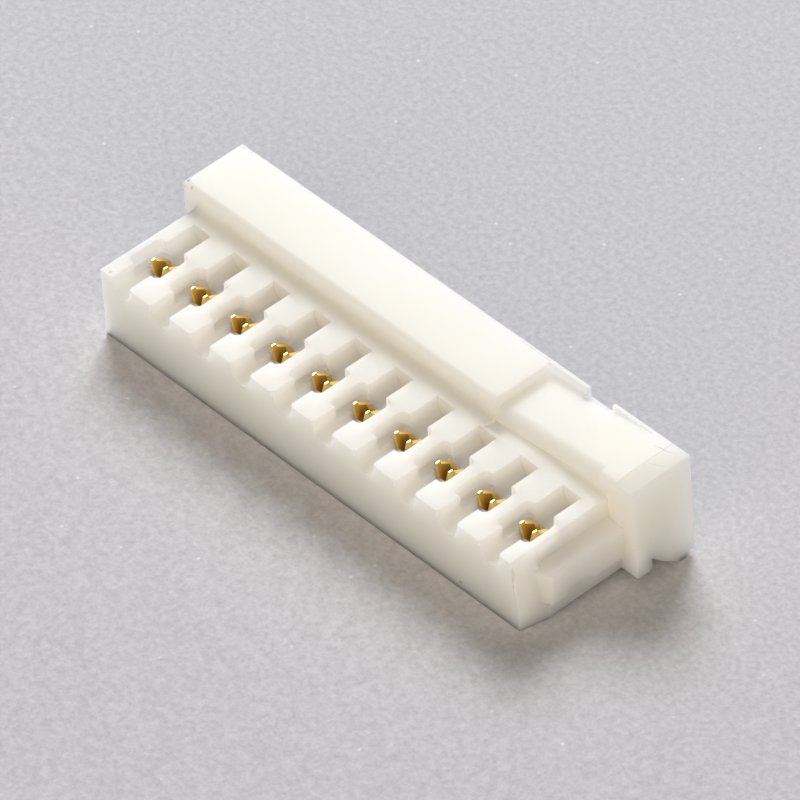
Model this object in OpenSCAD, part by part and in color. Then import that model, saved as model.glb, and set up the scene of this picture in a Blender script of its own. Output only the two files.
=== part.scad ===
// Fine-pitch insulation displacement connector: one moulded nylon housing
// with a comb of wire slots in front of a taller mating block, and one gold
// plated contact pressed into the housing behind each slot.
// X runs along the row, -Y is the wire side, +Y the mating side, +Z is up.
// The origin is under the middle of the housing, level with the lock ridge.
// Heights below are measured from the flat base, which lies above that ridge.

/* [Row] */
// Number of wires that the connector takes
circuits = 10; // [4:1:16]
// Distance between neighbouring wires
pitch = 0.8; // [0.78:0.01:0.9]
// How far the row of wires lies to the left of the housing's middle
row_shift = 0.09; // [0:0.01:0.12]

/* [Comb] */
// Front face of the comb to the front face of the mating block
comb_depth = 1.72; // [1.66:0.01:1.9]
// Height of the tops of the teeth
comb_h = 1.15; // [1.1:0.01:1.25]
// Middle of the last slot to the end of the row of teeth
comb_end = 0.4; // [0.38:0.01:0.46]
// How far the shoulder stands out at the right end of the comb
shoulder_out = 0.28; // [0.22:0.01:0.34]
// Height of the shoulder's outer edge
shoulder_h = 0.78; // [0.6:0.01:0.9]
// How far the top of the shoulder rises from there to the teeth
shoulder_rise = 0.04; // [0.01:0.01:0.15]
// Length of the sloping nose in front of the shoulder
nose_depth = 0.45; // [0.3:0.01:0.6]
// How far the foot of the nose stands out at the front face
nose_out = 0.12; // [0.02:0.01:0.15]
// Height of the undercut below the shoulder
undercut_h = 0.26; // [0.1:0.01:0.3]
// How far that undercut goes in
undercut_in = 0.08; // [0.02:0.01:0.1]
// Front face of the comb to the relief above the undercut
relief_front = 0.73; // [0.65:0.01:1.0]
// Length of that relief
relief_len = 0.48; // [0.3:0.01:0.5]
// Height of that relief
relief_h = 0.37; // [0.32:0.01:0.45]
// Length of the slope at its rear end
relief_slope = 0.18; // [0.05:0.01:0.25]

/* [Wire slots] */
// Width of the slot that a wire is pressed into
slot_w = 0.35; // [0.3:0.01:0.38]
// Depth of the slot below the tops of the teeth
slot_depth = 0.28; // [0.22:0.01:0.34]
// Front face of the comb to the rear end of the slot
slot_len = 1.47; // [1.3:0.01:1.55]
// Lead-in at the front corners of the teeth
tooth_chamfer = 0.03; // [0.01:0.01:0.05]
// Front face of the comb to the pocket that gives the blades room
pocket_front = 0.4; // [0.35:0.01:0.5]
// Length of that pocket along the wire
pocket_len = 0.58; // [0.5:0.01:0.65]
// Width of that pocket
pocket_w = 0.59; // [0.45:0.01:0.62]
// Depth of that pocket below the tops of the teeth
pocket_depth = 0.22; // [0.14:0.01:0.3]
// Radius in the corners of that pocket
pocket_r = 0.08; // [0.03:0.01:0.1]

/* [Mating block] */
// Depth of the mating block
block_depth = 1.07; // [0.95:0.01:1.3]
// Height of the mating block
block_h = 1.47; // [1.4:0.01:1.7]
// Length of the block beyond the middles of the end slots, on average
block_end = 0.79; // [0.74:0.01:0.9]
// Radius along the front top edge of the block
roof_r = 0.09; // [0.03:0.01:0.12]
// Radius along its rear top edge
rear_r = 0.03; // [0.02:0.01:0.06]
// Radius along its top edges at both ends
end_r = 0.12; // [0.03:0.01:0.16]
// Radius at its upright corners
corner_r = 0.08; // [0.03:0.01:0.12]
// Radius where the comb runs into the block
valley_r = 0.08; // [0.03:0.01:0.12]
// Length of the lowered stretch of the roof
low_roof_len = 2.61; // [2.2:0.01:2.8]
// How far the roof steps down at the start of that stretch
low_roof_drop = 0.17; // [0.1:0.01:0.24]
// Length over which the lowered roof climbs back
ramp_len = 1.97; // [1.6:0.01:2.1]
// Radius along the front edge of the lowered roof
low_front_r = 0.2; // [0.1:0.01:0.25]
// Thickness of the lip behind the lowered roof
lip_w = 0.07; // [0.05:0.01:0.12]
// Step of the roof to the key notch in that lip
key_start = 0.71; // [0.5:0.01:1.0]
// Length of the key notch
key_len = 0.46; // [0.3:0.01:0.6]
// Depth of the key notch below the roof
key_depth = 0.19; // [0.14:0.01:0.22]
// Rear face of the block to the front of the key notch
key_in = 0.14; // [0.13:0.01:0.2]
// Width of the rim at the right end of the roof
rim_w = 0.36; // [0.25:0.01:0.45]
// How far that rim lies below the roof
rim_drop = 0.015; // [0.01:0.005:0.04]

/* [Latch ears] */
// How far each ear stands out from the end of the block
ear_out = 0.02; // [0.01:0.01:0.1]
// Depth of an ear from front to rear
ear_depth = 0.27; // [0.2:0.01:0.35]
// Height of the upright part of an ear
ear_h = 0.42; // [0.25:0.01:0.5]
// Height of the slope above it
ear_slope_h = 0.1; // [0.05:0.01:0.25]
// Chamfer at the lower rear corner of an ear
ear_chamfer = 0.05; // [0.02:0.01:0.09]
// Height of the notch behind each ear
notch_h = 0.19; // [0.1:0.01:0.25]
// How far that notch goes in from the end
notch_in = 0.25; // [0.15:0.01:0.3]

/* [Lock ridge] */
// How far the ridge under the block stands below the base
ridge_drop = 0.22; // [0.12:0.01:0.28]
// Width of the flat land along the ridge
ridge_land = 0.13; // [0.1:0.01:0.2]
// Rear face of the block to that land
ridge_in = 0.16; // [0.1:0.01:0.2]
// Length of the slope in front of the land
ridge_slope = 0.31; // [0.2:0.01:0.35]
// How far the rear face of the block reaches below the base
ridge_tail = 0.08; // [0.02:0.01:0.1]

/* [Contacts] */
// Thickness of the contact's sheet metal
sheet = 0.08; // [0.06:0.01:0.09]
// Side clearance of a contact in its slot
contact_clear = 0.01; // [0.005:0.005:0.02]
// Height of the channel floor above the base
floor_h = 0.15; // [0.12:0.01:0.18]
// Front of the pocket to the front blades
blade_front = 0.25; // [0.12:0.01:0.26]
// Front face of the front blades to the rear face of the rear blades
blade_len = 0.29; // [0.26:0.01:0.36]
// Depth of the blade tips below the tops of the teeth
tip_below = 0.09; // [0.06:0.01:0.2]
// Chamfer at the outer corners of the blade tips
tip_chamfer = 0.03; // [0.01:0.01:0.05]
// How far the front blade tips rise above the side walls
tip_rise = 0.04; // [0.02:0.01:0.08]
// How far the tops of the side walls fall towards the rear blades
wall_fall = 0.12; // [0.04:0.01:0.16]
// Gap between the blade tips, where the wire enters
tip_gap = 0.22; // [0.18:0.01:0.24]
// Gap between the blades, where they cut the insulation
cut_gap = 0.06; // [0.04:0.01:0.1]
// Height over which the gap narrows
lead_h = 0.3; // [0.2:0.01:0.34]
// Depth of the cutting gap below the lead-in
cut_h = 0.26; // [0.2:0.01:0.3]
// Height of the socket beams
beam_h = 0.33; // [0.25:0.01:0.36]
// Gap between the beams where they grip the pin
grip_gap = 0.08; // [0.06:0.01:0.12]
// Rear face of the block to that grip
grip_in = 0.32; // [0.28:0.01:0.4]
// Gap between the beams at their flared ends
flare_gap = 0.16; // [0.13:0.01:0.17]
// Rear face of the block to the ends of the beams
beam_in = 0.16; // [0.14:0.01:0.2]

/* [Pin entries] */
// Width of a pin entry
entry_w = 0.24; // [0.2:0.01:0.3]
// Height of a pin entry
entry_h = 0.3; // [0.24:0.01:0.34]
// Lead-in around each entry
entry_lead = 0.05; // [0.03:0.01:0.06]
// Thickness of the wall that the entries pass through
entry_wall = 0.12; // [0.1:0.01:0.13]

/* [Hidden] */
$fn = 48;
nylon = [0.95, 0.93, 0.88];
gold = [0.9, 0.72, 0.3];
reach = 0.5; // how far a cutting shape runs past the face it opens

row_len = (circuits - 1) * pitch;
depth = comb_depth + block_depth;
front_y = -depth / 2;
block_y = front_y + comb_depth;
rear_y = depth / 2;
nose_y = front_y + nose_depth;
comb_left_x = -row_len / 2 - comb_end - row_shift;
comb_right_x = row_len / 2 + comb_end - row_shift;
shoulder_x = comb_right_x + shoulder_out;
foot_x = shoulder_x - undercut_in;
block_x = row_len / 2 + block_end;
low_x = block_x - low_roof_len;
ear_rear_y = block_y + ear_depth;
land_y = rear_y - ridge_in;
ridge_y = land_y - ridge_land - ridge_slope;
slot_end_y = front_y + slot_len;
pocket_y = front_y + pocket_front;
blade_y = pocket_y + blade_front;
blade_rear_y = blade_y + blade_len;
contact_w = slot_w - 2 * contact_clear;
half_gap = contact_w / 2 - sheet;
channel_top = floor_h + sheet + beam_h + contact_clear;
entry_z = floor_h + sheet + beam_h / 2;
tip_z = comb_h - tip_below;

function contact_name(i) = str("contact_", i < 10 ? "0" : "", i);
function slot_x(i) = (i - 1) * pitch - row_len / 2 - row_shift;
function mirrored(half) = concat(half, [for (i = [len(half) - 1:-1:0]) [-half[i][0], half[i][1]]]);

// Extrude a profile drawn in X and Z along Y
module along_y(from, to) {
    translate([0, to, 0])
        rotate([90, 0, 0])
            linear_extrude(to - from)
                children();
}

// Extrude a profile drawn in Y and Z along X
module along_x(from, to) {
    translate([from, 0, 0])
        rotate([90, 0, 90])
            linear_extrude(to - from)
                children();
}

// Extrude a plan drawn in X and Y upwards
module upwards(from, to) {
    translate([0, 0, from])
        linear_extrude(to - from)
            children();
}

// Plan of a rectangle about the Y axis, with round corners
module round_plan(w, from, to, r) {
    translate([-w / 2 + r, from])
        square([w - 2 * r, to - from]);
    translate([-w / 2, from + r])
        square([w, to - from - 2 * r]);
    for (x = [-1, 1]) {
        for (y = [from + r, to - r]) {
            translate([x * (w / 2 - r), y])
                circle(r);
        }
    }
}

// What a rounded edge takes off the corner at its upper right
module edge_waste(r) {
    difference() {
        square(r * 2);
        circle(r);
    }
}

// The comb, with a sloping nose at its right end
module comb_body() {
    intersection() {
        along_y(front_y, nose_y) {
            polygon([
                [comb_left_x, 0],
                [foot_x, 0],
                [comb_right_x, comb_h],
                [comb_left_x, comb_h]
            ]);
        }
        upwards(0, comb_h) {
            polygon([
                [comb_left_x, front_y],
                [comb_right_x + nose_out, front_y],
                [foot_x, nose_y],
                [comb_left_x, nose_y]
            ]);
        }
    }
    along_y(nose_y, block_y) {
        polygon([
            [comb_left_x, 0],
            [foot_x, 0],
            [foot_x, shoulder_h],
            [comb_right_x, shoulder_h],
            [comb_right_x, comb_h],
            [comb_left_x, comb_h]
        ]);
    }
}

// Shoulder that stands out over the foot of the comb, with a slanted front
module shoulder() {
    root_x = comb_right_x - shoulder_out;
    intersection() {
        along_y(front_y, block_y) {
            polygon([
                [root_x, undercut_h],
                [shoulder_x, undercut_h],
                [shoulder_x, shoulder_h],
                [comb_right_x, shoulder_h + shoulder_rise],
                [root_x, shoulder_h + shoulder_rise]
            ]);
        }
        upwards(0, comb_h) {
            polygon([
                [root_x, nose_y - shoulder_out],
                [shoulder_x, nose_y],
                [shoulder_x, block_y],
                [root_x, block_y]
            ]);
        }
    }
}

// Small relief in the lower edge of the shoulder, sloping down at its rear
module shoulder_relief() {
    relief_y = front_y + relief_front;
    relief_rear_y = relief_y + relief_len;
    along_x(foot_x, shoulder_x + reach) {
        polygon([
            [relief_y, 0],
            [relief_rear_y, 0],
            [relief_rear_y, undercut_h],
            [relief_rear_y - relief_slope, relief_h],
            [relief_y, relief_h]
        ]);
    }
}

// Profile of the mating block from the side: rounded above, with the lock ridge below
module block_profile() {
    difference() {
        translate([block_y, 0])
            square([block_depth, block_h]);
        translate([block_y + roof_r, block_h - roof_r])
            mirror([1, 0])
                edge_waste(roof_r);
        translate([rear_y - rear_r, block_h - rear_r])
            edge_waste(rear_r);
    }
    polygon([
        [ridge_y, floor_h / 2],
        [ridge_y, 0],
        [ridge_y + ridge_slope, -ridge_drop],
        [land_y, -ridge_drop],
        [rear_y, -ridge_tail],
        [rear_y, floor_h / 2]
    ]);
}

// Profile of the mating block from the front, with its top edges rounded at both ends
module end_profile() {
    difference() {
        translate([-block_x, -ridge_drop])
            square([2 * block_x, block_h + ridge_drop]);
        for (side = [0, 1]) {
            mirror([side, 0])
                translate([block_x - end_r, block_h - end_r])
                    edge_waste(end_r);
        }
    }
}

// The mating block before anything is cut into it
module block_body() {
    intersection() {
        along_x(-block_x, block_x)
            block_profile();
        along_y(block_y, rear_y)
            end_profile();
        upwards(-ridge_drop, block_h)
            round_plan(2 * block_x, block_y, rear_y, corner_r);
    }
}

// Concave fillet between the tops of the teeth and the block
module valley_fillet() {
    along_x(comb_left_x, comb_right_x) {
        difference() {
            translate([block_y - valley_r, comb_h - valley_r])
                square([valley_r * 2, valley_r * 2]);
            translate([block_y - valley_r, comb_h + valley_r])
                circle(valley_r);
        }
    }
}

// The roof's lowered stretch climbs to the right from a step, in front of a thin lip
module low_roof_cut() {
    ramp_angle = atan(low_roof_drop / ramp_len);
    along_y(block_y - reach, rear_y - lip_w) {
        polygon([
            [low_x, block_h - low_roof_drop],
            [low_x + ramp_len, block_h],
            [low_x + ramp_len, block_h + reach],
            [low_x, block_h + reach]
        ]);
    }
    translate([low_x, block_y + low_front_r, block_h - low_roof_drop])
        rotate([0, -ramp_angle, 0])
            along_x(0, ramp_len / cos(ramp_angle))
                translate([0, -low_front_r])
                    mirror([1, 0])
                        edge_waste(low_front_r);
}

// The rim at the right end of the roof lies a little lower
module rim_cut() {
    translate([block_x - rim_w, block_y - reach, block_h - rim_drop])
        cube([rim_w + reach, block_depth + 2 * reach, reach]);
}

// The key notch through the lip behind the lowered roof
module key_cut() {
    translate([low_x + key_start, rear_y - key_in, block_h - key_depth])
        cube([key_len, key_in + reach, reach]);
}

// Ears low down at the front corners of the block
module ears() {
    profile = mirrored([
        [block_x + ear_out, 0],
        [block_x + ear_out, ear_h],
        [block_x, ear_h + ear_slope_h]
    ]);
    intersection() {
        along_y(block_y, ear_rear_y)
            polygon(profile);
        along_x(-block_x - 2 * ear_out, block_x + 2 * ear_out) {
            polygon([
                [block_y, 0],
                [ear_rear_y - ear_chamfer, 0],
                [ear_rear_y, ear_chamfer],
                [ear_rear_y, block_h],
                [block_y, block_h]
            ]);
        }
    }
}

// Notches behind the ears, which run out on the slope of the ridge
module ear_notches() {
    for (side = [0, 1]) {
        mirror([side, 0, 0]) {
            along_x(block_x - notch_in, block_x + reach) {
                polygon([
                    [ear_rear_y, -reach],
                    [ear_rear_y, notch_h],
                    [ridge_y, 0],
                    [ridge_y, -reach]
                ]);
            }
        }
    }
}

// Plan of one wire slot, with its lead-in between the front corners of two teeth
module slot_plan() {
    mouth = slot_w / 2 + tooth_chamfer;
    polygon(mirrored([
        [mouth + reach, front_y - reach],
        [mouth, front_y],
        [slot_w / 2, front_y + tooth_chamfer],
        [slot_w / 2, slot_end_y]
    ]));
}

// One wire slot: round at the bottom, open above and in front
module wire_slot() {
    axis_z = comb_h - slot_depth + slot_w / 2;
    upwards(axis_z, comb_h + reach)
        slot_plan();
    along_y(front_y - reach, slot_end_y) {
        translate([0, axis_z])
            circle(d = slot_w);
    }
}

// Room in the teeth for the blades to spread, and the channel that holds the contact:
// open above round the blades, and closed above the socket beams
module contact_channel() {
    channel_y = blade_y - contact_clear;
    upwards(comb_h - pocket_depth, comb_h + reach)
        round_plan(pocket_w, pocket_y, pocket_y + pocket_len, pocket_r);
    translate([-slot_w / 2, channel_y, floor_h])
        cube([slot_w, blade_len + 2 * contact_clear, comb_h]);
    translate([-slot_w / 2, channel_y, floor_h])
        cube([slot_w, rear_y - entry_wall - channel_y, channel_top - floor_h]);
}

// Pin entry through the rear wall, with a lead-in all round
module pin_entry() {
    lead_y = rear_y - entry_lead;
    translate([0, rear_y, entry_z])
        cube([entry_w, 4 * entry_wall, entry_h], center = true);
    intersection() {
        upwards(0, block_h)
            polygon(mirrored([
                [entry_w / 2, lead_y],
                [entry_w / 2 + 2 * entry_lead, lead_y + 2 * entry_lead]
            ]));
        along_x(-pitch, pitch) {
            polygon([
                [lead_y, entry_z - entry_h / 2],
                [lead_y + 2 * entry_lead, entry_z - entry_h / 2 - 2 * entry_lead],
                [lead_y + 2 * entry_lead, entry_z + entry_h / 2 + 2 * entry_lead],
                [lead_y, entry_z + entry_h / 2]
            ]);
        }
    }
}

module housing() {
    color(nylon) {
        translate([0, 0, ridge_drop]) {
            difference() {
                union() {
                    comb_body();
                    shoulder();
                    valley_fillet();
                    block_body();
                    ears();
                }
                shoulder_relief();
                low_roof_cut();
                rim_cut();
                key_cut();
                ear_notches();
                for (i = [1:circuits]) {
                    translate([slot_x(i), 0, 0]) {
                        wire_slot();
                        contact_channel();
                        pin_entry();
                    }
                }
            }
        }
    }
}

// Plan of the blade section: two side walls whose ends are folded inwards
module blade_plan() {
    difference() {
        round_plan(contact_w, blade_y, blade_rear_y, sheet);
        translate([-half_gap, blade_y + sheet])
            square([2 * half_gap, blade_len - 2 * sheet]);
    }
}

// The wire's way down between the blades, drawn in X and Z
module wire_gap() {
    lead_z = tip_z - lead_h;
    bottom_z = lead_z - cut_h + cut_gap / 2;
    polygon(mirrored([
        [cut_gap / 2, bottom_z],
        [cut_gap / 2, lead_z],
        [tip_gap / 2, tip_z],
        [tip_gap / 2, tip_z + reach]
    ]));
    translate([0, bottom_z])
        circle(d = cut_gap);
}

// The outer corners of the blade tips are chamfered
module tip_shape() {
    polygon(mirrored([
        [contact_w / 2, floor_h],
        [contact_w / 2, tip_z - tip_chamfer],
        [contact_w / 2 - tip_chamfer, tip_z],
        [0, tip_z]
    ]));
}

// Two folded walls with a pair of cutting blades in front and a lower pair behind
module blades() {
    wall_z = tip_z - tip_rise;
    difference() {
        intersection() {
            upwards(floor_h, tip_z)
                blade_plan();
            along_y(blade_y, blade_rear_y)
                tip_shape();
        }
        along_y(blade_y - reach, blade_rear_y + reach)
            wire_gap();
        along_x(-contact_w, contact_w) {
            polygon([
                [blade_y + sheet, wall_z],
                [blade_rear_y, wall_z - wall_fall],
                [blade_rear_y + reach, wall_z - wall_fall],
                [blade_rear_y + reach, tip_z + reach],
                [blade_y + sheet, tip_z + reach]
            ]);
        }
    }
}

// Plan of one socket beam: straight from the side wall, in to the grip, out to the flare
module beam_plan() {
    inner = [
        [half_gap, blade_rear_y - sheet],
        [half_gap, block_y],
        [grip_gap / 2, rear_y - grip_in],
        [flare_gap / 2, rear_y - beam_in]
    ];
    outer = [for (p = inner) [p[0] + sheet, p[1]]];
    polygon(concat(inner, [for (i = [len(outer) - 1:-1:0]) outer[i]]));
}

// Floor strip that carries the walls, with a barb on each edge that holds in the channel
module base_strip() {
    barb_len = 2 * sheet;
    upwards(floor_h, floor_h + sheet) {
        translate([-contact_w / 2, blade_y])
            square([contact_w, block_y - blade_y]);
        polygon(mirrored([
            [contact_w / 2, block_y - barb_len],
            [contact_w / 2 + contact_clear, block_y - sheet],
            [contact_w / 2, block_y - sheet]
        ]));
    }
}

// One contact, folded from sheet: blades for the wire, a base and two socket beams
module contact(i) {
    color(gold) {
        translate([slot_x(i), 0, ridge_drop]) {
            blades();
            base_strip();
            for (side = [0, 1]) {
                mirror([side, 0, 0])
                    upwards(floor_h + sheet, floor_h + sheet + beam_h)
                        beam_plan();
            }
        }
    }
}

housing();
for (i = [1:circuits]) {
    contact(i);
}
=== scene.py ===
"""Looks of a fine-pitch insulation displacement connector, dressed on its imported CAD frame.

The housing is one natural nylon moulding, and ten gold-plated contacts stand in its wire slots.
Sizes are in millimetres where a name ends in _mm, and in metres elsewhere.
"""

import logging
import math
from dataclasses import dataclass, field
from itertools import combinations
from typing import Any, Callable

import bmesh
import bpy
from mathutils import Matrix, Vector
from mathutils.bvhtree import BVHTree
from mathutils.geometry import intersect_point_line


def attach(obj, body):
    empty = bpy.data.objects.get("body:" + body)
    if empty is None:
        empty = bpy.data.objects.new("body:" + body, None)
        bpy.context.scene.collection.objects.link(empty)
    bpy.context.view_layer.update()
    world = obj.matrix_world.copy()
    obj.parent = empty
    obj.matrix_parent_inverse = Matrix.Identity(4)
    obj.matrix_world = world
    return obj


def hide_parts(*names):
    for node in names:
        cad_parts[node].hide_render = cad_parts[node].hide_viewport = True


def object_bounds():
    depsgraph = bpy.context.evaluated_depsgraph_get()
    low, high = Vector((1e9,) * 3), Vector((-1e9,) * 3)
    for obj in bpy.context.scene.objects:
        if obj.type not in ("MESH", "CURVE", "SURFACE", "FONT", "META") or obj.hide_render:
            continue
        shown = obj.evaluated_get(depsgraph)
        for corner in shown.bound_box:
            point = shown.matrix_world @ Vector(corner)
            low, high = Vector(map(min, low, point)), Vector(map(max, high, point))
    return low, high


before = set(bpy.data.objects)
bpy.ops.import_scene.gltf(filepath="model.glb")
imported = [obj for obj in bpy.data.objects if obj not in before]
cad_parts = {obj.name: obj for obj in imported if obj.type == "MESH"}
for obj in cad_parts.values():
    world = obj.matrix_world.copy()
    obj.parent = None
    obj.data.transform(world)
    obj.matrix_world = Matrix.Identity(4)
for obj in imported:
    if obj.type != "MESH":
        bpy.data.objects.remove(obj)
CAD_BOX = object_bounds()

MM = 0.001
MERGE_MM = 0.0002  # corners closer than this are one
FLAT_DEG = 0.3  # faces that meet flatter than this are one

Rgba = tuple[float, float, float, float]
Triple = tuple[float, float, float]
Edge = bmesh.types.BMEdge
Socket = bpy.types.NodeSocket

log = logging.getLogger("connector")


def linear(hex_code: str) -> Rgba:
    """Turns an sRGB colour into linear light.

    Args:
        hex_code: The colour as six hex digits.

    Returns:
        Linear red, green, blue and an alpha of one.
    """
    parts = [int(hex_code[i:i + 2], 16) / 255 for i in (0, 2, 4)]
    light = [p / 12.92 if p <= 0.04045 else ((p + 0.055) / 1.055) ** 2.4 for p in parts]
    return (light[0], light[1], light[2], 1.0)


def add_node(
    tree: bpy.types.NodeTree, kind: str, inputs: dict[str | int, Any], **settings: Any
) -> bpy.types.Node:
    """Adds a shader node with its settings, values and links.

    Args:
        tree: The node tree that gets the node.
        kind: Blender's name for the node.
        inputs: A value, or the output that is linked in, for each input by name or number.
        **settings: Properties of the node itself.

    Returns:
        The new node.
    """
    node = tree.nodes.new(kind)
    for name, value in settings.items():
        setattr(node, name, value)
    for name, value in inputs.items():
        if isinstance(value, Socket):
            tree.links.new(value, node.inputs[name])
        else:
            node.inputs[name].default_value = value
    return node


def new_tree(name: str) -> tuple[bpy.types.Material, bpy.types.NodeTree]:
    """Makes an empty node material.

    Args:
        name: What the material is.

    Returns:
        The material and its empty node tree.
    """
    material = bpy.data.materials.new(name)
    material.use_nodes = True
    material.node_tree.nodes.clear()
    return material, material.node_tree


def dress(piece: bpy.types.Object, material: bpy.types.Material) -> None:
    """Gives a piece one material all over.

    Args:
        piece: The object that is dressed.
        material: Its finish.
    """
    piece.data.materials.clear()
    piece.data.materials.append(material)
    for polygon in piece.data.polygons:
        polygon.material_index = 0


def merged_copy(node: str, name: str) -> bpy.types.Object:
    """Copies a CAD node into a piece of its own, with its loose triangles merged into plain faces.

    Args:
        node: The CAD node.
        name: The new piece's name.

    Returns:
        The piece, which is the active and only selected object.
    """
    piece = bpy.data.objects.new(name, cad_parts[node].data.copy())
    bpy.context.scene.collection.objects.link(piece)
    bpy.ops.object.select_all(action="DESELECT")
    piece.select_set(True)
    bpy.context.view_layer.objects.active = piece
    bpy.ops.mesh.customdata_custom_splitnormals_clear()
    bpy.ops.object.mode_set(mode="EDIT")
    bpy.ops.mesh.select_all(action="SELECT")
    bpy.ops.mesh.remove_doubles(threshold=MERGE_MM * MM)
    bpy.ops.mesh.dissolve_limited(angle_limit=math.radians(FLAT_DEG))
    bpy.ops.object.mode_set(mode="OBJECT")
    return piece


def stand_for(piece: bpy.types.Object, node: str) -> None:
    """Lets a piece stand for a CAD node on the part's one body.

    Args:
        piece: The finished piece.
        node: The node that it replaces.
    """
    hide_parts(node)
    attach(piece, "root")


def away(edge: Edge, corner: bmesh.types.BMVert) -> Vector:
    """Gives the direction in which an edge leaves one of its corners."""
    return (edge.other_vert(corner).co - corner.co).normalized()


def edge_room(edge: Edge) -> float:
    """Finds how far the next edges lie beside an edge.

    Args:
        edge: An edge between two faces.

    Returns:
        The distance across the narrower face, in mm.
    """
    along = away(edge, edge.verts[0])
    room = math.inf
    for loop in edge.link_loops:
        for other in (loop.link_loop_prev.edge, loop.link_loop_next.edge):
            side = other.verts[1].co - other.verts[0].co
            across = (side - along * side.dot(along)).length
            # an edge that runs on nearly straight says nothing about the room
            if across > 0.6 * side.length:
                room = min(room, across)
    return room / MM


def reaches(edge: Edge, spot: Vector, reach: float) -> bool:
    """Says whether a spot lies within a reach of an edge.

    Args:
        edge: The edge.
        spot: A place on the piece.
        reach: The distance that counts as near.

    Returns:
        True if the edge's nearest place is closer than the reach.
    """
    start, end = (corner.co for corner in edge.verts)
    _, share = intersect_point_line(spot, start, end)
    return (start.lerp(end, min(max(share, 0.0), 1.0)) - spot).length < reach


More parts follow.
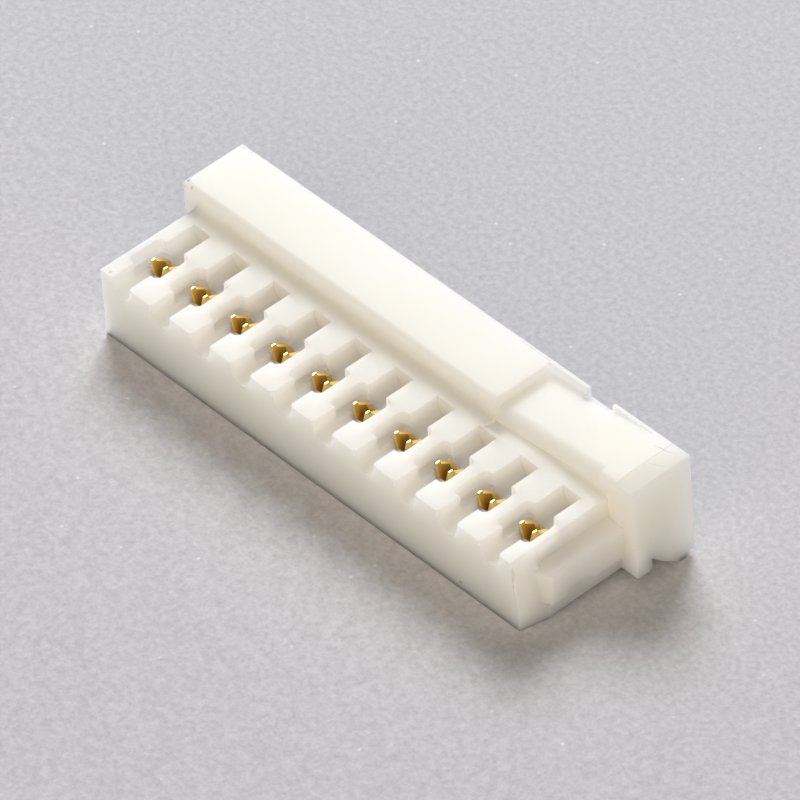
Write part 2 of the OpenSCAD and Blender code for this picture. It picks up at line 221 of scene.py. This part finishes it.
@dataclass(frozen=True)
class EdgeRounder:
    """Rounds the sharp edges of a piece, and less where the rounding would fold over."""

    width_at: Callable[[Vector], float]  # the wanted width in mm, for an edge's middle in mm
    segments: int = 3
    sharp_deg: float = 24.0  # an edge that turns by more is rounded
    smooth_deg: float = 40.0  # facets that turn by less shade as one surface
    room_share: float = 0.4  # of the narrower face beside an edge
    in_line: float = 0.77  # cosine from which two edges run on as one, or turn back
    finest_mm: float = 0.01  # a width up to this is dropped, and a greater one is halved
    facet_corners: int = 6  # a face with more corners is one of the solid's wide ones
    fold_cosine: float = 0.15  # a facet that turns further from its solid is folded
    crossed_share: float = 1.01  # a wide face whose triangles cover more crosses itself
    stray_share: float = 0.5  # of the greatest width, by which a corner may leave its solid

    def apply(self, piece: bpy.types.Object) -> None:
        """Rounds the edges of a piece and keeps it inside its solid.

        Args:
            piece: The active object, merged into plain faces.
        """
        faces = bmesh.new()
        faces.from_mesh(piece.data)
        solid = BVHTree.FromBMesh(faces)
        # the layer is made first, because edges that were picked before it would be lost
        weight = faces.edges.layers.float.new("bevel_weight_edge")
        widths = self.wanted_widths(faces)
        most = max(widths.values())
        bevel = piece.modifiers.new("edges", "BEVEL")
        bevel.width = most * MM
        bevel.segments = self.segments
        bevel.limit_method = "WEIGHT"
        bevel.use_clamp_overlap = False
        bevel.loop_slide = False
        tight = list(widths)
        while tight:
            self.even_runs(faces, widths)
            for edge, width in widths.items():
                edge[weight] = width / most
            faces.to_mesh(piece.data)
            folds = self.folded_spots(piece, solid)
            tight = [edge for edge, width in widths.items()
                     if width and any(reaches(edge, spot, most * MM) for spot in folds)]
            for edge in tight:
                widths[edge] = widths[edge] / 2 if widths[edge] > self.finest_mm else 0.0
            log.info("%s: %d folds, %d edges eased", piece.name, len(folds), len(tight))
        faces.free()
        bpy.ops.object.modifier_apply(modifier=bevel.name)
        self.keep_inside(piece, solid, self.stray_share * most * MM)
        self.shade(piece)

    def wanted_widths(self, faces: bmesh.types.BMesh) -> dict[Edge, float]:
        """Finds the sharp edges.

        Args:
            faces: The merged mesh.

        Returns:
            The width in mm for each of them, as far as the faces beside it leave room.
        """
        widths = {}
        for edge in faces.edges:
            if math.degrees(edge.calc_face_angle(0.0)) > self.sharp_deg:
                middle = (edge.verts[0].co + edge.verts[1].co) / (2 * MM)
                widths[edge] = min(self.width_at(middle), self.room_share * edge_room(edge))
        return widths

    def even_runs(self, faces: bmesh.types.BMesh, widths: dict[Edge, float]) -> None:
        """Gives the edges of a straight run one rounding, and takes it off at acute corners.

        Args:
            faces: The merged mesh.
            widths: The width in mm for each sharp edge, which is changed here.
        """
        uneven = True
        while uneven:
            uneven = False
            for corner in faces.verts:
                meeting = [edge for edge in corner.link_edges if edge in widths]
                for one, two in combinations(meeting, 2):
                    cosine = away(one, corner).dot(away(two, corner))
                    if cosine < -self.in_line and widths[one] != widths[two]:
                        widths[one] = widths[two] = min(widths[one], widths[two])
                        uneven = True
        for face in faces.faces:
            for loop in face.loops:
                one, two = loop.link_loop_prev.edge, loop.edge
                cosine = away(one, loop.vert).dot(away(two, loop.vert))
                if one in widths and two in widths and cosine > self.in_line:
                    widths[one] = widths[two] = 0.0

    def folded_spots(self, piece: bpy.types.Object, solid: BVHTree) -> list[Vector]:
        """Finds where the rounding of a piece folds over.

        Args:
            piece: The object with its bevel still live.
            solid: The faces before rounding.

        Returns:
            The middles of small faces that look the wrong way, and the corners of wide ones
            that cross themselves.
        """
        live = piece.evaluated_get(bpy.context.evaluated_depsgraph_get())
        mesh = live.to_mesh()
        mesh.calc_loop_triangles()
        covered = [0.0] * len(mesh.polygons)
        for triangle in mesh.loop_triangles:
            covered[triangle.polygon_index] += triangle.area
        spots = []
        for polygon in mesh.polygons:
            if len(polygon.vertices) <= self.facet_corners:
                _, normal, _, _ = solid.find_nearest(polygon.center)
                if polygon.normal.dot(normal) < self.fold_cosine:
                    spots.append(polygon.center.copy())
            elif covered[polygon.index] > self.crossed_share * polygon.area:
                spots.extend(mesh.vertices[corner].co.copy() for corner in polygon.vertices)
        live.to_mesh_clear()
        return spots

    def keep_inside(self, piece: bpy.types.Object, solid: BVHTree, reach: float) -> None:
        """Puts stray corners back on their solid, and every corner inside the CAD box.

        Args:
            piece: The rounded object.
            solid: The faces before rounding.
            reach: How far outside its solid a corner may lie.
        """
        for corner in piece.data.vertices:
            spot, normal, _, gap = solid.find_nearest(corner.co)
            if gap > reach and (corner.co - spot).dot(normal) > 0:
                corner.co = spot
            corner.co = [min(max(v, low), high) for v, low, high in zip(corner.co, *CAD_BOX)]

    def shade(self, piece: bpy.types.Object) -> None:
        """Shades the rounded edges smooth and the wide faces flat.

        Args:
            piece: The active object.
        """
        bpy.ops.object.shade_smooth_by_angle(angle=math.radians(self.smooth_deg))
        even = piece.modifiers.new("even_shading", "WEIGHTED_NORMAL")
        even.keep_sharp = True
        bpy.ops.object.modifier_apply(modifier=even.name)


@dataclass(frozen=True)
class Mark:
    """A worn or dirty spot on the moulding, or painted shade on it: an ellipsoid that darkens what
    lies in it.
    """

    place_mm: Triple
    half_mm: Triple
    turn_deg: Triple = (0.0, 0.0, 0.0)
    strength: float = 1.0


# worn spots on the moulding, and painted shade along the roof's rear edge
WEAR_AND_SHADE = (
    # scuffs at the roof's rear left corner
    Mark((-4.27, 1.345, 1.69), (0.075, 0.030, 0.04), (0.0, 0.0, -8.0), 0.55),
    Mark((-4.12, 1.376, 1.69), (0.045, 0.050, 0.04), (0.0, 0.0, 20.0), 0.5),
    Mark((-3.92, 1.392, 1.67), (0.060, 0.030, 0.04), strength=0.5),
    # specks at the front left corners of the roof and the comb, and on the front
    Mark((-4.18, 0.336, 1.68), (0.030, 0.030, 0.05), strength=0.6),
    Mark((-3.95, -1.322, 1.36), (0.030, 0.030, 0.03), strength=0.6),
    Mark((2.917, -1.395, 0.361), (0.035, 0.030, 0.025), strength=0.45),
    Mark((3.48, -1.395, 1.35), (0.025, 0.030, 0.02), strength=0.4),
    # a thin dark line down the front's right end
    Mark((3.945, -1.395, 1.13), (0.014, 0.040, 0.26), (0.0, -4.0, 0.0), 0.38),
    # thin dark lines across the right end of the roof
    Mark((4.03, 1.220, 1.675), (0.150, 0.012, 0.03), (0.0, 0.0, 18.0), 0.34),
    Mark((4.16, 0.960, 1.675), (0.100, 0.010, 0.03), (0.0, 0.0, 24.0), 0.2),
    # painted shade along the roof's rear edge, where the front face of the thin lip behind the
    # lowered stretch lies in shade
    Mark((1.60, 1.345, 1.69), (0.400, 0.016, 0.04), strength=0.3),
    Mark((1.95, 1.385, 1.68), (0.300, 0.014, 0.04), strength=0.22),
)


@dataclass(frozen=True)
class NaturalNylon:
    """Natural nylon, injection moulded in an eroded steel mould, so warm, milky and satin."""

    colour: str = "FDF5EB"
    shade: str = "FAF0E2"
    # the colour of worn spots, and of the painted shade along the roof's rear edge
    stain_and_shade: str = "5A5349"
    roughness: float = 0.58
    haze_mm: float = 0.1  # how far light runs in the nylon before it turns
    tint: Triple = (1.0, 0.96, 0.9)
    flow_mm: float = 1.6
    grit_mm: float = 0.05  # the eroded grain is too fine to show, so it is drawn coarser
    grit_deep_mm: float = 0.004
    fray_mm: float = 0.06
    fray_share: float = 1.2
    marks: tuple[Mark, ...] = WEAR_AND_SHADE

    def material(self) -> bpy.types.Material:
        """Builds the material.

        Returns:
            A milky, slightly translucent plastic with flow shading, grit, worn spots and painted
            shade along the roof's rear edge.
        """
        material, tree = new_tree("natural_moulded_nylon")
        place = add_node(tree, "ShaderNodeTexCoord", {}).outputs["Object"]
        flow = add_node(tree, "ShaderNodeTexNoise", {
            "Vector": place, "Scale": 1 / (self.flow_mm * MM), "Detail": 3.0, "Roughness": 0.5})
        # the melt front leaves faint, broad patches of a warmer tone
        tone = add_node(tree, "ShaderNodeMix", {
            "Factor": flow.outputs["Fac"],
            6: linear(self.colour), 7: linear(self.shade)}, data_type="RGBA")
        # worn spots and the painted shade along the roof's rear edge darken the tone
        colour = add_node(tree, "ShaderNodeMix", {
            "Factor": self.stain_and_shade_mask(tree, place),
            6: tone.outputs[2], 7: linear(self.stain_and_shade)}, data_type="RGBA")
        # the mould's grain breaks up the gloss, so the eye sees satin and no clear highlight
        grit = add_node(tree, "ShaderNodeTexNoise", {
            "Vector": place, "Scale": 1 / (self.grit_mm * MM), "Detail": 2.0, "Roughness": 0.6})
        rough = add_node(tree, "ShaderNodeMapRange", {
            "Value": grit.outputs["Fac"],
            "To Min": self.roughness - 0.06, "To Max": self.roughness + 0.1})
        bump = add_node(tree, "ShaderNodeBump", {
            "Height": grit.outputs["Fac"], "Strength": 0.12, "Distance": self.grit_deep_mm * MM})
        # light soaks in a little way, so edges and thin teeth look milky rather than painted
        shader = add_node(tree, "ShaderNodeBsdfPrincipled", {
            "Base Color": colour.outputs[2], "Roughness": rough.outputs["Result"], "IOR": 1.53,
            "Subsurface Weight": 1.0, "Subsurface Radius": self.tint,
            "Subsurface Scale": 4 * math.pi * self.haze_mm * MM,
            "Normal": bump.outputs["Normal"]})
        add_node(tree, "ShaderNodeOutputMaterial", {"Surface": shader.outputs["BSDF"]})
        return material

    def stain_and_shade_mask(self, tree: bpy.types.NodeTree, place: Socket) -> Socket | float:
        """Joins all worn spots and the painted shade into one mask.

        Args:
            tree: The material's node tree.
            place: Object coordinates.

        Returns:
            The output that is a spot's strength inside it and zero elsewhere, or zero if there
            are no spots.
        """
        mask: Socket | float = 0.0
        fray = add_node(tree, "ShaderNodeTexNoise", {
            "Vector": place, "Scale": 1 / (self.fray_mm * MM), "Detail": 2.0})
        for mark in self.marks:
            local = add_node(tree, "ShaderNodeMapping", {
                "Vector": place, "Location": [v * MM for v in mark.place_mm],
                "Rotation": [math.radians(v) for v in mark.turn_deg],
                "Scale": [v * MM for v in mark.half_mm]}, vector_type="TEXTURE")
            distance = add_node(
                tree, "ShaderNodeVectorMath", {0: local.outputs["Vector"]}, operation="LENGTH")
            # noise on the distance frays each mark's outline, as dirt in scratches looks, and
            # frays the painted shade alike
            ragged = add_node(tree, "ShaderNodeMath", {
                0: fray.outputs["Fac"], 1: self.fray_share, 2: distance.outputs["Value"]},
                operation="MULTIPLY_ADD")
            spot = add_node(tree, "ShaderNodeMapRange", {
                "Value": ragged.outputs["Value"], "From Min": 1.0, "From Max": 1.8,
                "To Min": mark.strength, "To Max": 0.0})
            mask = add_node(tree, "ShaderNodeMath", {
                0: spot.outputs["Result"], 1: mask}, operation="MAXIMUM").outputs["Value"]
        return mask


@dataclass(frozen=True)
class GoldPlate:
    """Thin gold over stamped phosphor bronze: warm and softly bright, with faint die lines."""

    colour: str = "F9DE91"
    shade: str = "EBC870"
    roughness: float = 0.42
    grain_mm: float = 0.03  # the die's lines are too fine to show, so they are drawn coarser
    grain_deep_mm: float = 0.004

    def material(self) -> bpy.types.Material:
        """Builds the material.

        Returns:
            A warm metal whose gloss is broken by fine drawn lines.
        """
        material, tree = new_tree("gold_plated_phosphor_bronze")
        place = add_node(tree, "ShaderNodeTexCoord", {}).outputs["Object"]
        # the die draws lines up the sheet, so the grain is stretched along Z
        drawn = add_node(tree, "ShaderNodeMapping", {"Vector": place, "Scale": (1.0, 1.0, 0.2)})
        grain = add_node(tree, "ShaderNodeTexNoise", {
            "Vector": drawn.outputs["Vector"], "Scale": 1 / (self.grain_mm * MM), "Detail": 3.0})
        colour = add_node(tree, "ShaderNodeMix", {
            "Factor": grain.outputs["Fac"],
            6: linear(self.colour), 7: linear(self.shade)}, data_type="RGBA")
        # gloss that changes along the lines gives the eye a broad yellow glow on the blades
        rough = add_node(tree, "ShaderNodeMapRange", {
            "Value": grain.outputs["Fac"],
            "To Min": self.roughness - 0.08, "To Max": self.roughness + 0.1})
        bump = add_node(tree, "ShaderNodeBump", {
            "Height": grain.outputs["Fac"], "Strength": 0.15,
            "Distance": self.grain_deep_mm * MM})
        shader = add_node(tree, "ShaderNodeBsdfPrincipled", {
            "Base Color": colour.outputs[2], "Metallic": 1.0,
            "Roughness": rough.outputs["Result"], "Normal": bump.outputs["Normal"]})
        add_node(tree, "ShaderNodeOutputMaterial", {"Surface": shader.outputs["BSDF"]})
        return material


@dataclass(frozen=True)
class PaleCard:
    """Matt grey card, which gives a plain pale ground and keeps the shadow."""

    dark: str = "ADADB1"
    light: str = "E1E1E6"
    # the colour of the painted glints
    glint_speck: str = "F2F2F4"
    grain_mm: float = 0.09  # the card's fibres are finer, and would show as noise
    speck_mm: float = 0.5

    def material(self) -> bpy.types.Material:
        """Builds the material.

        Returns:
            A matt grey with a very faint grain and a few pale specks, which are painted glints.
        """
        material, tree = new_tree("matt_grey_card")
        place = add_node(tree, "ShaderNodeTexCoord", {}).outputs["Object"]
        grain = add_node(tree, "ShaderNodeTexNoise", {
            "Vector": place, "Scale": 1 / (self.grain_mm * MM), "Detail": 2.0, "Roughness": 0.7})
        tone = add_node(tree, "ShaderNodeMix", {
            "Factor": grain.outputs["Fac"],
            6: linear(self.dark), 7: linear(self.light)}, data_type="RGBA")
        glint_cells = add_node(tree, "ShaderNodeTexVoronoi", {
            "Vector": place, "Scale": 1 / (self.speck_mm * MM)})
        # only the very middle of a cell shows, as a painted glint: a pale speck the size of a
        # fibre's end
        near = add_node(tree, "ShaderNodeMapRange", {
            "Value": glint_cells.outputs["Distance"], "From Min": 0.02, "From Max": 0.07,
            "To Min": 0.7, "To Max": 0.0})
        colour = add_node(tree, "ShaderNodeMix", {
            "Factor": near.outputs["Result"],
            6: tone.outputs[2], 7: linear(self.glint_speck)}, data_type="RGBA")
        shader = add_node(tree, "ShaderNodeBsdfPrincipled", {
            "Base Color": colour.outputs[2], "Roughness": 0.9, "Specular IOR Level": 0.2})
        add_node(tree, "ShaderNodeOutputMaterial", {"Surface": shader.outputs["BSDF"]})
        return material


@dataclass
class Housing:
    """The nylon moulding, whose edges are as soft as its mould leaves them."""

    finish: NaturalNylon = field(default_factory=NaturalNylon)
    edge_mm: float = 0.03
    tooth_mm: float = 0.06
    soft_mm: float = 0.07
    roof_base_mm: float = 1.37  # the lowered stretch of the roof: above, behind and right of these
    comb_rear_mm: float = 0.325
    low_roof_mm: float = 1.70
    tooth_top_mm: float = 1.36
    front_mm: float = -1.3  # the hidden channels: behind, before, within and between these
    entry_mm: float = 1.33
    row_mm: float = 3.9
    base_mm: float = 0.24
    channel_mm: float = 0.82
    pieces: list[bpy.types.Object] = field(default_factory=list)

    def build(self) -> None:
        """Copies the moulding's solid and rounds its edges."""
        piece = merged_copy("housing", "housing_moulding")
        EdgeRounder(self.width_at).apply(piece)
        stand_for(piece, "housing")
        self.pieces.append(piece)

    def width_at(self, middle: Vector) -> float:
        """Says how wide an edge of the moulding is rounded.

        Args:
            middle: The edge's middle, in mm.

        Returns:
            The width in mm, which is none in the hidden channels.
        """
        x, y, z = middle
        if (self.front_mm < y < self.entry_mm and abs(x) < self.row_mm
                and self.base_mm < z < self.channel_mm):
            return 0.0
        if x > self.low_roof_mm and y > self.comb_rear_mm and z > self.roof_base_mm:
            return self.soft_mm
        if y < self.comb_rear_mm and z > self.tooth_top_mm:
            return self.tooth_mm
        return self.edge_mm

    def dress(self) -> None:
        """Gives the moulding its nylon."""
        dress(self.pieces[0], self.finish.material())


@dataclass
class ContactRow:
    """The row of cutting contacts, folded from stamped sheet."""

    finish: GoldPlate = field(default_factory=GoldPlate)
    edge_mm: float = 0.045
    pieces: list[bpy.types.Object] = field(default_factory=list)

    def build(self) -> None:
        """Breaks the first contact's stamped edges, and sets equal copies in the other places."""
        nodes = sorted(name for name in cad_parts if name.startswith("contact_"))
        corners = [Vector(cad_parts[node].bound_box[0]) for node in nodes]
        first = merged_copy(nodes[0], f"plated_{nodes[0]}")
        EdgeRounder(lambda middle: self.edge_mm).apply(first)
        self.pieces.append(first)
        for node, corner in zip(nodes[1:], corners[1:]):
            mesh = first.data.copy()
            mesh.transform(Matrix.Translation(corner - corners[0]))
            piece = bpy.data.objects.new(f"plated_{node}", mesh)
            bpy.context.scene.collection.objects.link(piece)
            self.pieces.append(piece)
        for piece, node in zip(self.pieces, nodes):
            stand_for(piece, node)

    def dress(self) -> None:
        """Gives every contact its gold."""
        gold = self.finish.material()
        for piece in self.pieces:
            dress(piece, gold)


@dataclass(frozen=True)
class Lamp:
    """A square soft lamp that points at the part."""

    name: str
    place: Triple
    size: float
    watt: float
    colour: str
    mirrored: bool = True

    def hang(self) -> None:
        """Puts the lamp in the scene."""
        light = bpy.data.lights.new(self.name, "AREA")
        light.energy = self.watt
        light.size = self.size
        light.color = linear(self.colour)[:3]
        lamp = bpy.data.objects.new(self.name, light)
        lamp.location = self.place
        lamp.rotation_mode = "QUATERNION"
        lamp.rotation_quaternion = (-Vector(self.place)).to_track_quat("-Z", "Y")
        lamp.visible_glossy = self.mirrored
        bpy.context.scene.collection.objects.link(lamp)


@dataclass
class Studio:
    """Floor, light and camera."""

    floor_width: float = 1.2
    front_edge_mm: float = -1.395
    ridge_edge_mm: float = 1.105
    lean_mm: float = 0.22
    slack_mm: float = 0.01
    azimuth_deg: float = 50.44
    elevation_deg: float = 42.98
    roll_deg: float = -4.19
    lens: float = 405.06
    target_mm: Triple = (0.155, 0.090, 0.779)
    distance_mm: float = 118.24
    sky: float = 0.07
    sky_colour: str = "FFFFFF"
    lamps: tuple[Lamp, ...] = (
        Lamp("key", (-0.11, 0.11, 0.14), 0.10, 0.455, "FAFCFF"),
        # the gold doesn't mirror the fill, so the fronts of the blades stay dark
        Lamp("fill", (0.12, -0.14, 0.085), 0.30, 0.465, "FFF2E0", mirrored=False),
    )

    def build(self) -> None:
        """Sets up the floor, the light and the camera."""
        bpy.context.scene.view_settings.view_transform = "Standard"
        self.lay_floor()
        self.light()
        self.set_camera()

    def lay_floor(self) -> None:
        """Lays the card, which follows the part's lean from its front edge to its rear ridge."""
        bpy.ops.object.select_all(action="DESELECT")
        bpy.ops.mesh.primitive_plane_add(size=self.floor_width)
        floor = bpy.context.object
        floor.name = "floor"
        bpy.ops.object.mode_set(mode="EDIT")
        for y_mm in (self.front_edge_mm, self.ridge_edge_mm):
            bpy.ops.mesh.select_all(action="SELECT")
            bpy.ops.mesh.bisect(plane_co=(0.0, y_mm * MM, 0.0), plane_no=(0.0, 1.0, 0.0))
        bpy.ops.object.mode_set(mode="OBJECT")
        for corner in floor.data.vertices:
            if corner.co.y < (self.front_edge_mm + self.slack_mm) * MM:
                corner.co.z = self.lean_mm * MM
        bpy.ops.object.shade_smooth()
        dress(floor, PaleCard().material())

    def light(self) -> None:
        """Hangs the soft lamps in an even pale room."""
        world = bpy.data.worlds.new("pale_room")
        world.use_nodes = True
        tree = world.node_tree
        tree.nodes.clear()
        air = add_node(tree, "ShaderNodeBackground", {
            "Color": linear(self.sky_colour), "Strength": self.sky})
        add_node(tree, "ShaderNodeOutputWorld", {"Surface": air.outputs["Background"]})
        bpy.context.scene.world = world
        for lamp in self.lamps:
            lamp.hang()

    def set_camera(self) -> None:
        """Points a long lens at the part from the photograph's side."""
        az = math.radians(self.azimuth_deg)
        el = math.radians(self.elevation_deg)
        roll = math.radians(self.roll_deg)
        back = Vector((math.sin(az) * math.cos(el), -math.cos(az) * math.cos(el), math.sin(el)))
        level = Vector((math.cos(az), math.sin(az), 0.0))
        rise = back.cross(level)
        right = level * math.cos(roll) + rise * math.sin(roll)
        up = rise * math.cos(roll) - level * math.sin(roll)
        data = bpy.data.cameras.new("camera")
        data.lens = self.lens
        data.sensor_width = 36.0
        data.clip_start, data.clip_end = 0.01, 5.0
        camera = bpy.data.objects.new("camera", data)
        turn = Matrix((right, up, back)).transposed()
        spot = (Vector(self.target_mm) + back * self.distance_mm) * MM
        camera.matrix_world = Matrix.Translation(spot) @ turn.to_4x4()
        bpy.context.scene.collection.objects.link(camera)
        bpy.context.scene.camera = camera


def main() -> None:
    """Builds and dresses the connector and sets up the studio."""
    logging.basicConfig(level=logging.INFO, format="%(name)s: %(message)s")
    for part in (Housing(), ContactRow()):
        part.build()
        part.dress()
        for piece in part.pieces:
            log.info("%s: %d faces", piece.name, len(piece.data.polygons))
    Studio().build()


if __name__ == "__main__":
    main()
